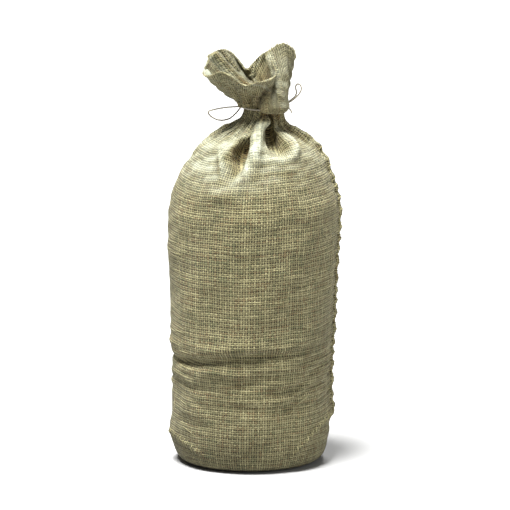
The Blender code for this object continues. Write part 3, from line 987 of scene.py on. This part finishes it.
def make_sack(material, middle, parts):
    """The whole sack as one closed skin: body, ruff, and the ruff's inner side down to the throat."""
    points, along, painted_light = (np.concatenate(kind) for kind in zip(*parts))
    points = points - middle
    points[:, -1] = points[:, 0]
    share = column_degrees() / 360.0 + 0.0 * along
    mesh = grid_mesh("sack_cloth", points)
    corner = face_corners(mesh)
    row = corner // share.shape[1]
    in_ruff = row.reshape(-1, 4).min(axis=1).repeat(4) >= BODY_ROWS - 1
    for name, body_round, ruff_round in (("Weave", CLOTH_ROUND, RUFF_ROUND),
                                         ("Gathered", GATHER_ROUND, RUFF_GATHER_ROUND)):
        across = share.ravel()[corner] * np.where(in_ruff, ruff_round, body_round)
        write_uv(mesh, name, across, along.ravel()[corner])
    gather = ease(GATHER_FROM, GATHER_TO, points[..., 2])
    gather[BODY_ROWS:BODY_ROWS + RUFF_ROWS] = 1.0 - ease(0.10, 0.40, ruff_shares()[1:])
    gather[BODY_ROWS + RUFF_ROWS:] = 0.0
    # The second attribute carries painted highlight (above nought) and painted shade (below nought) for the
    # colour
    for name, values in (("gather", gather), ("painted_light", painted_light)):
        layer = mesh.attributes.new(name, "FLOAT", "POINT")
        layer.data.foreach_set("value", values.astype(np.float32).ravel())
    close_mesh(mesh)
    piece = add_piece("sack_cloth", mesh, material)
    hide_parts("sack")


def carried_frames(routes):
    """Two sideways directions at each point of many routes, carried along them without spinning."""
    tangent = np.gradient(routes, axis=1)
    tangent /= np.linalg.norm(tangent, axis=-1)[..., None]
    level = np.abs(tangent[:, 0, 2:]) < 0.9
    side = np.cross(tangent[:, 0], np.where(level, (0.0, 0.0, 1.0), (0.0, 1.0, 0.0)))
    sides = []
    for step in range(routes.shape[1]):
        direction = tangent[:, step]
        side = side - direction * (side * direction).sum(axis=-1)[:, None]
        side = side / np.linalg.norm(side, axis=-1)[:, None]
        sides.append(side)
    first = np.stack(sides, axis=1)
    return first, np.cross(tangent, first)


def sweep(routes, radii, sides, plies=0, lay=0.007):
    """Rings of points round many routes: plain rounds, or plies twisted together."""
    first, second = carried_frames(routes)
    steps = np.linalg.norm(np.diff(routes, axis=1), axis=-1)
    length = np.concatenate((np.zeros((len(routes), 1)), np.cumsum(steps, axis=1)), axis=1)
    turn = np.arange(sides + 1) * 2.0 * math.pi / sides
    turn[-1] = 0.0
    size = np.broadcast_to(radii, routes.shape[:2])[..., None] + 0.0 * turn
    if plies:
        twist = 2.0 * math.pi * length[..., None] / lay
        size = size * (0.76 + 0.24 * np.abs(np.cos(0.5 * plies * (turn - twist))))
    return (routes[:, :, None] + first[:, :, None] * (size * np.cos(turn))[..., None]
            + second[:, :, None] * (size * np.sin(turn))[..., None]), length


def make_twine(name, route, material, plies=3, sides=12, closed=False):
    """Twisted twine along a route, with fibres running round it in its own coordinates."""
    points, length = sweep(route[None], 0.5 * TWINE, sides, plies)
    points = points[0]
    if closed:
        points[-1] = points[0]
    mesh = grid_mesh(name, points)
    corner = face_corners(mesh)
    around = np.linspace(0.0, math.pi * TWINE, sides + 1) + 0.0 * length.T
    along = length.T + 0.0 * around
    write_uv(mesh, "Twine", around.ravel()[corner], along.ravel()[corner])
    close_mesh(mesh)
    return add_piece(name, mesh, material)


def strand_piece(name, routes, radii, sides, material):
    """Many thin yarns or fibres of the same number of steps as one piece."""
    count, steps = routes.shape[:2]
    points, _ = sweep(routes, radii, sides)
    mesh = grid_mesh(name, points.reshape(count * steps, sides + 1, 3))
    shape = bmesh.new()
    shape.from_mesh(mesh)
    width = sides + 1
    bridges = [face for face in shape.faces
               if min(vert.index for vert in face.verts) // width % steps == steps - 1]
    bmesh.ops.delete(shape, geom=bridges, context="FACES")
    shape.to_mesh(mesh)
    shape.free()
    close_mesh(mesh, 1e-7)
    add_piece(name, mesh, material)


def true_place(degrees, height):
    """Row number to ask of body_point so that the point has this height at this angle."""
    wanted = place_at(height)
    seam = seam_place(degrees)
    low = wanted / seam * SEAM_KNOT
    high = SEAM_KNOT + (wanted - seam) / (FREE_KNOT - seam) * (FREE_KNOT - SEAM_KNOT)
    return np.where(wanted >= FREE_KNOT, wanted, np.where(wanted < seam, low, high))


def on_cloth(degrees, places):
    """Points of the wall with the small folds that the shown cloth has there."""
    point = body_point(degrees, places)
    fine = small_folds(degrees, places, point[..., 2])
    return point + level_outward(np.radians(degrees)) * fine[..., None]


def seam_stitches(material, middle):
    """Overcast stitches over the side seam and over the shown ends of the bottom seam."""
    rng = np.random.default_rng(5)
    way = np.linspace(-1.0, 1.0, 9)[None, :]
    height = np.arange(SEAM_FOOT + SEAM_FADE, SEAM_TOP, STITCH_PITCH)[:, None]
    height = height + rng.uniform(-0.25, 0.25, height.shape) * STITCH_PITCH
    lean = rng.uniform(0.0012, 0.0030, height.shape)
    side = on_cloth(way * 3.0 + 0.0 * height, place_at(height + way * lean))
    side = side + STITCH_RISE * level_outward(np.radians(80.0 * way) + 0.0 * height)

    left = np.arange(186.0, 226.0, BOTTOM_STITCH_DEGREES)
    right = np.arange(316.0, 356.0, BOTTOM_STITCH_DEGREES)
    degrees = np.concatenate((left, right))[:, None]
    degrees = degrees + rng.uniform(-0.9, 0.9, degrees.shape)
    across = degrees + way * 0.8
    bottom = on_cloth(across, true_place(across, corner_height(degrees) + way * 0.0040))
    push = np.radians(75.0 * way) + 0.0 * degrees
    turn = np.radians(degrees)
    out = np.stack([np.cos(turn) * np.cos(push), np.sin(turn) * np.cos(push), np.sin(push)], axis=-1)
    bottom = bottom + BOTTOM_STITCH_RISE * out

    routes = np.concatenate((side, bottom)) - middle
    radii = STITCH_RADIUS * rng.uniform(0.75, 1.2, (len(routes), 1)) * (1.0 - 0.35 * way ** 4)
    radii[len(side):] *= BOTTOM_STITCH_SHARE
    strand_piece("seam_stitches", routes, radii, 6, material)


def raised_slubs(material, middle, body):
    """Thick places of single threads that stand out of the weave."""
    rng = np.random.default_rng(63)
    steps = 11
    row = rng.integers(20, BODY_ROWS - 40, SLUBS)[:, None]
    column = rng.integers(2, COLUMNS - steps, SLUBS)[:, None]
    level = rng.random(SLUBS)[:, None] < 0.7
    step = np.arange(steps)[None, :]
    rows = row + np.where(level, 0, step)
    columns = column + np.where(level, step, 0)
    routes = body[rows, columns] - middle
    way = np.linspace(-1.0, 1.0, steps)[None, :]
    radii = SLUB_RADIUS * rng.uniform(0.6, 1.1, (SLUBS, 1)) * (1.02 - way ** 2) ** 0.7
    strand_piece("raised_slubs", routes, radii, 6, material)


def rim_directions(degrees):
    """Points of the rim and the way the cloth runs out over it."""
    cloth = shown_ruff(column_degrees()[None, :], ruff_shares())
    around = degrees % 360.0
    below, rim = (
        np.stack([np.interp(around, column_degrees(), cloth[row, :, axis]) for axis in range(3)], axis=-1)
        for row in (RUFF_ROWS - 2, RUFF_ROWS))
    out = rim - below
    return rim, out / np.linalg.norm(out, axis=-1)[..., None]


def frayed_rim(material, middle):
    """Yarn ends that stand out of the cut edge, longer on the right lobe, and threads that hang along it."""
    rng = np.random.default_rng(23)
    degrees = (np.arange(RIM_YARNS) + rng.uniform(-0.4, 0.4, RIM_YARNS)) * 360.0 / RIM_YARNS
    rim, out = rim_directions(degrees)
    length = rng.uniform(0.0004, 0.0020, RIM_YARNS)
    length = length + patch(degrees, RIGHT_LOBE) * rng.random(RIM_YARNS) ** 2.5
    bend = rng.normal(0.0, 0.45, (RIM_YARNS, 3))
    way = np.linspace(-0.6, 1.0, 6)[None, :, None]
    reach = length[:, None, None]
    routes = rim[:, None] + out[:, None] * (reach * way - 0.0004)
    routes = routes + bend[:, None] * reach * np.maximum(way, 0.0) ** 2
    radii = YARN_RADIUS * rng.uniform(0.6, 1.15, (RIM_YARNS, 1)) * np.array([1.0, 1.0, 1.0, 0.9, 0.7, 0.3])
    strand_piece("frayed_rim", routes - middle, radii, 5, material)

    in_front = rng.uniform(-70.0, 25.0, LOOPED_YARNS)
    behind = rng.uniform(60.0, 250.0, LOOPED_YARNS)
    start = np.where(np.arange(LOOPED_YARNS) < LOOPED_IN_FRONT, in_front, behind)
    way = np.linspace(0.0, 1.0, 14)
    span = rng.uniform(5.0, 16.0, LOOPED_YARNS)
    rim, out = rim_directions(start[:, None] + span[:, None] * way)
    lift = rng.uniform(0.0006, 0.0028, LOOPED_YARNS)[:, None, None] * np.sin(math.pi * way)[:, None]
    routes = rim + out * lift + rng.normal(0.0, 0.00018, rim.shape)
    strand_piece("rim_threads", routes - middle, YARN_RADIUS * 0.6, 4, material)


def loose_fibres(material, middle, parts):
    """Short jute fibres that stand off the cloth."""
    rng = np.random.default_rng(77)
    grid = np.concatenate([parts[0][0], parts[1][0]])
    normal = grid_normals(grid)
    row = rng.integers(12, len(grid) - 2, FIBRES)
    column = rng.integers(0, COLUMNS, FIBRES)
    out = normal[row, column]
    flat = np.cross(out, rng.normal(0.0, 1.0, (FIBRES, 3)))
    flat /= np.linalg.norm(flat, axis=-1)[:, None]
    length = rng.uniform(0.002, 0.008, (FIBRES, 1, 1))
    rise = rng.uniform(0.10, 0.75, (FIBRES, 1, 1))
    curl = rng.normal(0.0, 0.4, (FIBRES, 1, 3))
    way = np.linspace(0.0, 1.0, 5)[None, :, None]
    run = way * flat[:, None] + rise * way * out[:, None] + curl * way * way
    routes = (grid[row, column] - middle)[:, None] + length * run
    radii = FIBRE_RADIUS * np.array([[1.0, 0.95, 0.8, 0.6, 0.25]])
    strand_piece("loose_fibres", routes, radii, 3, material)


class Graph:
    """Short ways to add and join shader nodes."""

    def __init__(self, tree):
        self.tree = tree

    def node(self, kind, **settings):
        node = self.tree.nodes.new(kind)
        for name, value in settings.items():
            setattr(node, name, value)
        return node

    def put(self, socket, value):
        if isinstance(value, bpy.types.NodeSocket):
            self.tree.links.new(value, socket)
        else:
            socket.default_value = value

    def filled(self, node, *values):
        """The node, its first inputs given these values."""
        for socket, value in zip(node.inputs, values):
            self.put(socket, value)
        return node

    def math(self, operation, *values, clamp=False):
        node = self.node("ShaderNodeMath", operation=operation, use_clamp=clamp)
        return self.filled(node, *values).outputs[0]

    def plus(self, first, second):
        return self.math("ADD", first, second)

    def minus(self, first, second):
        return self.math("SUBTRACT", first, second)

    def times(self, first, second):
        return self.math("MULTIPLY", first, second)

    def times_plus(self, first, second, third):
        return self.math("MULTIPLY_ADD", first, second, third)

    def split(self, vector):
        return self.filled(self.node("ShaderNodeSeparateXYZ"), vector).outputs

    def join(self, across, along, third=0.0):
        return self.filled(self.node("ShaderNodeCombineXYZ"), across, along, third).outputs[0]

    def noise(self, place, scale, detail=2.0):
        node = self.node("ShaderNodeTexNoise")
        for label, value in (("Vector", place), ("Scale", scale), ("Detail", detail)):
            self.put(node.inputs[label], value)
        return node.outputs[0]

    def one_each(self, number, shift):
        """A random value for each whole number."""
        node = self.node("ShaderNodeTexWhiteNoise", noise_dimensions="1D")
        self.put(node.inputs["W"], self.plus(number, shift))
        return node.outputs["Value"]

    def blend(self, share, first, second, kind="MIX"):
        node = self.node("ShaderNodeMix", data_type="RGBA", blend_type=kind)
        for number, value in ((0, share), (6, first), (7, second)):
            self.put(node.inputs[number], value)
        return node.outputs[2]

    def tinted(self, colour, tint):
        return self.blend(1.0, colour, tint, "MULTIPLY")

    def shaded(self, colour, share):
        return self.tinted(colour, self.join(share, share, share))

    def between(self, share, low, high):
        return self.times_plus(share, self.minus(high, low), low)

    def fade(self, value, low, high, first=0.0, second=1.0):
        node = self.node("ShaderNodeMapRange", interpolation_type="SMOOTHSTEP")
        return self.filled(node, value, low, high, first, second).outputs[0]

    def own(self, kind, output, **settings):
        """What a node that reads the piece's own coordinates or attributes gives."""
        return self.node(kind, **settings).outputs[output]

    def bump(self, normal, height, strength, distance):
        node = self.node("ShaderNodeBump")
        for label, value in (("Strength", strength), ("Distance", distance), ("Height", height)):
            self.put(node.inputs[label], value)
        self.put(normal, node.outputs[0])


def shader_group(name, inputs, outputs):
    """An empty node group with named sockets, and its own Graph."""
    tree = bpy.data.node_groups.new(name, "ShaderNodeTree")
    for label, kind, value in inputs:
        socket = tree.interface.new_socket(label, in_out="INPUT", socket_type=kind)
        if value is not None:
            socket.default_value = value
    for label, kind in outputs:
        tree.interface.new_socket(label, in_out="OUTPUT", socket_type=kind)
    graph = Graph(tree)
    return tree, graph, graph.node("NodeGroupInput").outputs, graph.node("NodeGroupOutput").inputs


def weave_group():
    """Plain weave of uneven jute threads: over and under, with paired wefts and open holes."""
    tree, graph, given, out = shader_group(
        "Hessian weave",
        [("Cloth", "NodeSocketVector", None),
         ("Warp pitch", "NodeSocketFloat", WARP_PITCH),
         ("Weft pitch", "NodeSocketFloat", WEFT_PITCH)]
        + [(label, "NodeSocketColor", colour) for label, colour in JUTE_COLOURS],
        [("Colour", "NodeSocketColor"), ("Height", "NodeSocketFloat")])
    cloth = given["Cloth"]
    x, y, _ = graph.split(cloth)

    # Thread numbers across and along, which wander a little, and the place within each thread
    wander = graph.minus(graph.noise(cloth, 42.0), 0.5)
    drift = graph.minus(graph.noise(graph.join(y, x, 0.37), 36.0), 0.5)
    u = graph.times_plus(wander, WARP_WANDER, graph.math("DIVIDE", x, given["Warp pitch"]))
    v = graph.times_plus(drift, WEFT_WANDER, graph.math("DIVIDE", y, given["Weft pitch"]))
    pairing = graph.math("SINE", graph.times(v, math.pi))
    v = graph.times_plus(pairing, WEFT_PAIRING, v)
    warp = graph.math("FLOOR", u)
    weft = graph.math("FLOOR", v)
    du = graph.minus(graph.math("FRACT", u), 0.5)
    dv = graph.minus(graph.math("FRACT", v), 0.5)

    # Each thread has its own thickness, and slubs along it
    warp_kind = graph.one_each(warp, 3.5)
    weft_kind = graph.one_each(weft, 911.5)
    warp_slub = graph.noise(graph.join(graph.times(warp, 3.7), graph.times(v, 0.17)), 1.0, 1.0)
    weft_slub = graph.noise(graph.join(graph.times(weft, 5.3), graph.times(u, 0.12)), 1.0, 1.0)
    warp_half = graph.plus(graph.between(warp_kind, 0.18, 0.25), graph.times(warp_slub, 0.16))
    weft_half = graph.plus(graph.between(weft_kind, 0.18, 0.26), graph.times(weft_slub, 0.22))

    # Round threads that ride over and under each other; the higher one shows
    heights = []
    for offset, half, sign, phase in ((du, warp_half, 1.0, graph.plus(v, warp)),
                                      (dv, weft_half, -1.0, graph.plus(u, weft))):
        ratio = graph.math("DIVIDE", offset, half)
        round_off = graph.minus(1.0, graph.times(ratio, ratio))
        body = graph.math("SQRT", graph.math("MAXIMUM", round_off, 0.0))
        ride = graph.math("SINE", graph.times(phase, math.pi))
        heights.append(graph.times(body, graph.times_plus(ride, THREAD_RIDE * sign, 1.0 - THREAD_RIDE)))
    height = graph.math("MAXIMUM", *heights)
    warp_top = graph.math("GREATER_THAN", *heights)

    # Colour of each thread, with runs of olive and brown along it
    kind = graph.between(warp_top, weft_kind, warp_kind)
    slub = graph.between(warp_top, weft_slub, warp_slub)
    tone = graph.plus(graph.times(kind, 0.22), graph.times(slub, 1.1))
    colour = graph.blend(graph.fade(tone, 0.42, 0.92), given["Straw"], given["Pale"])
    run = graph.times(graph.between(warp_top, u, v), 0.13)
    other = graph.noise(graph.join(graph.times(kind, 431.0), run, 3.3), 1.0, 1.0)
    colour = graph.blend(graph.fade(other, 0.56, 0.70, 0.0, 0.75), colour, given["Olive"])
    colour = graph.blend(graph.fade(other, 0.44, 0.30, 0.0, 0.75), colour, given["Brown"])

    # Fibres in the threads, painted shade on the low sides of the threads, and the holes between them painted
    # dark as shade
    fibre = graph.noise(graph.join(x, y), 900.0, 2.0)
    height = graph.times(height, graph.between(fibre, 0.85, 1.12))
    colour = graph.shaded(colour, graph.fade(height, 0.05, 0.85, 0.36, 1.0))
    colour = graph.blend(graph.fade(height, 0.20, 0.06), colour, given["Hole shade"])
    graph.put(out["Colour"], colour)
    graph.put(out["Height"], height)
    return tree


def new_material(name, roughness, sheen):
    """A material with a plain shader: its node tree as a Graph, and the shader's inputs."""
    material = bpy.data.materials.new(name)
    material.use_nodes = True
    shader = material.node_tree.nodes["Principled BSDF"].inputs
    for label, value in (("Roughness", roughness), ("Specular IOR Level", 0.20),
                         ("Sheen Weight", sheen), ("Sheen Roughness", 0.6)):
        shader[label].default_value = value
    return material, Graph(material.node_tree), shader


def hessian_material(weave):
    """The sack's cloth. The weave narrows towards the tie, where half of the threads turn into the pleats."""
    material, graph, shader = new_material("hessian_cloth", 0.85, 0.06)
    wide, narrow = (graph.node("ShaderNodeGroup", node_tree=weave) for _ in range(2))
    for cloth, map_name in ((wide, "Weave"), (narrow, "Gathered")):
        graph.put(cloth.inputs["Cloth"], graph.own("ShaderNodeUVMap", 0, uv_map=map_name))
    gather = graph.own("ShaderNodeAttribute", "Fac", attribute_name="gather")
    colour = graph.blend(gather, wide.outputs["Colour"], narrow.outputs["Colour"])
    height = graph.between(gather, wide.outputs["Height"], narrow.outputs["Height"])

    # Broad lighter and darker patches, painted highlight on up-facing and raised cloth, painted shade in
    # hollows and under the lip, and painted shade darkening the foot
    place = graph.own("ShaderNodeTexCoord", "Object")
    patches = graph.noise(place, 9.0, 3.0)
    colour = graph.shaded(colour, graph.fade(patches, 0.25, 0.75, 0.86, 1.10))
    painted_light = graph.own("ShaderNodeAttribute", "Fac", attribute_name="painted_light")
    painted_light = graph.times(painted_light, graph.fade(graph.noise(place, 70.0, 3.0), 0.35, 0.62, 0.45, 1.0))
    # Painted highlight: the colour lightened and greyed where the attribute is above nought
    highlight_colour = graph.blend(graph.fade(height, 0.0, 0.7), HIGHLIGHT_DEEP, HIGHLIGHT_PALE)
    colour = graph.blend(graph.math("MULTIPLY", painted_light, HIGHLIGHT_SHARE, clamp=True), colour, highlight_colour)
    # Painted shade: the colour tinted brown and darker where the attribute is below nought
    shaded_colour = graph.tinted(colour, SHADE_TINT)
    colour = graph.blend(graph.math("MULTIPLY", painted_light, -SHADE_SHARE, clamp=True), colour, shaded_colour)
    # Painted shade: the cloth darker towards the floor
    _, _, up = graph.split(place)
    colour = graph.shaded(colour, graph.fade(graph.times_plus(patches, 0.08, up), 0.015, 0.16, 0.80, 1.0))
    graph.put(shader["Base Color"], colour)
    graph.bump(shader["Normal"], height, 0.9, 0.0012)
    return material


def yarn_material(name, pale, dark, map_name=None):
    """Jute yarn: streaks of paler and darker fibre along it."""
    material, graph, shader = new_material(name, 0.85, 0.15)
    if map_name:
        x, y, _ = graph.split(graph.own("ShaderNodeUVMap", 0, uv_map=map_name))
        place = graph.join(graph.times(x, 6.0), graph.plus(y, graph.times(x, 1.1)))
        streaks = graph.noise(place, 900.0, 2.0)
    else:
        streaks = graph.noise(graph.own("ShaderNodeTexCoord", "Object"), 700.0, 2.0)
    graph.put(shader["Base Color"], graph.blend(graph.fade(streaks, 0.3, 0.7), dark, pale))
    graph.bump(shader["Normal"], streaks, 0.5, 0.0002)
    return material


def add_light(name, kind, spot, power):
    """A light at a spot, turned towards the sack's middle."""
    light = bpy.data.objects.new(name, bpy.data.lights.new(name, kind))
    light.data.energy = power
    light.location = spot
    light.rotation_euler = (AIM - Vector(spot)).to_track_quat("-Z", "Y").to_euler()
    bpy.context.scene.collection.objects.link(light)
    return light


def set_stage():
    """A wide pale floor, plain soft studio light and the camera at the photograph's angle."""
    scene = bpy.context.scene
    shape = bmesh.new()
    bmesh.ops.create_grid(shape, x_segments=1, y_segments=1, size=FLOOR_HALF)
    mesh = bpy.data.meshes.new("floor")
    shape.to_mesh(mesh)
    shape.free()
    floor = bpy.data.objects.new("floor", mesh)
    scene.collection.objects.link(floor)
    material, graph, shader = new_material("pale_floor", 0.9, 0.0)
    graph.put(shader["Base Color"], FLOOR_COLOUR)
    mesh.materials.append(material)

    world = bpy.data.worlds.new("studio")
    scene.world = world
    world.use_nodes = True
    backdrop = world.node_tree.nodes["Background"]
    backdrop.inputs["Color"].default_value = (1.0, 1.0, 1.0, 1.0)
    backdrop.inputs["Strength"].default_value = WORLD_LIGHT
    key = add_light("key", "SUN", KEY_SPOT, KEY_LIGHT)
    key.data.angle = math.radians(KEY_SOFTNESS)
    fill = add_light("fill", "AREA", FILL_SPOT, FILL_LIGHT)
    fill.data.size = FILL_SIZE
    back = add_light("back", "SUN", BACK_SPOT, BACK_LIGHT)
    back.data.angle = math.radians(KEY_SOFTNESS)

    camera = bpy.data.objects.new("camera", bpy.data.cameras.new("camera"))
    scene.collection.objects.link(camera)
    tilt = math.radians(CAMERA_TILT)
    away = Vector((0.0, -math.cos(tilt), math.sin(tilt)))
    camera.location = AIM + away * CAMERA_DISTANCE
    camera.rotation_euler = (-away).to_track_quat("-Z", "Y").to_euler()
    camera.data.sensor_width = SENSOR
    camera.data.lens = SENSOR * CAMERA_DISTANCE / FRAME_WIDTH
    scene.camera = camera
    scene.view_settings.view_transform = "Standard"


def smooth_route(points):
    """A smooth open route through given points, read at an even spacing."""
    fine = through_rows(points, np.linspace(0.0, len(points) - 1.0, 600))
    length = travelled(np.linalg.norm(np.diff(fine, axis=0), axis=1))
    count = int(round(length[-1] / ROUTE_STEP)) + 1
    wanted = np.linspace(0.0, length[-1], count)
    return np.stack([np.interp(wanted, length, fine[:, axis]) for axis in range(3)], axis=-1)


def twine_pieces(material, middle):
    """The turn round the neck, its knot, the two loose bights and the short end."""
    turn = np.linspace(0.0, 2.0 * math.pi, 241)
    clear = 0.5 * TWINE + GAP
    _, half_width, half_depth, middle_x = BODY[-1]
    ring = np.stack([
        middle_x + (half_width + clear) * np.cos(turn),
        (half_depth + clear) * np.sin(turn),
        TIE_HEIGHT + 0.0 * turn], axis=-1) - middle
    band = make_twine("twine_round_neck", ring, material, closed=True)
    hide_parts("tie_band")

    # An overhand knot: a three-lobed round, squeezed to its size
    step = np.linspace(0.0, 2.0 * math.pi, 121)
    knot = np.stack([
        np.sin(3.0 * step) * 0.9,
        (np.sin(step) + 2.0 * np.sin(2.0 * step)) / 2.6,
        (np.cos(step) - 2.0 * np.cos(2.0 * step)) / 2.6], axis=-1)
    slack = np.array(KNOT_HALF) - 0.4 * TWINE
    knot = np.array(KNOT_PLACE) + knot * np.maximum(slack, 0.0005) - middle
    knot_piece = make_twine("twine_knot", knot, material, closed=True, sides=10)
    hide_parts("tie_knot")

    end = make_twine("twine_short_end", smooth_route(TWINE_END) - middle, material)
    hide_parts("twine_end")

    for name, node, points, companions in (
            ("twine_left_loop", "loop_left", LEFT_LOOP, []),
            ("twine_right_loop", "loop_right", RIGHT_LOOP, [knot_piece, end])):
        route = smooth_route(points) - middle
        loop = make_twine(name, route, material)
        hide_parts(node)


def main():
    """The stage, and every piece of the sack and its tie."""
    set_stage()
    parts = cloth_grids()
    middle = np.array(BOX_MIDDLE)
    cloth = hessian_material(weave_group())
    yarn = yarn_material("hessian_yarn", YARN_PALE, YARN_DARK)
    twine = yarn_material("jute_twine", TWINE_PALE, TWINE_DARK, "Twine")
    twine_pieces(twine, middle)
    make_sack(cloth, middle, parts)
    seam_stitches(yarn, middle)
    raised_slubs(yarn, middle, parts[0][0])
    frayed_rim(yarn, middle)
    loose_fibres(yarn, middle, parts)


main()
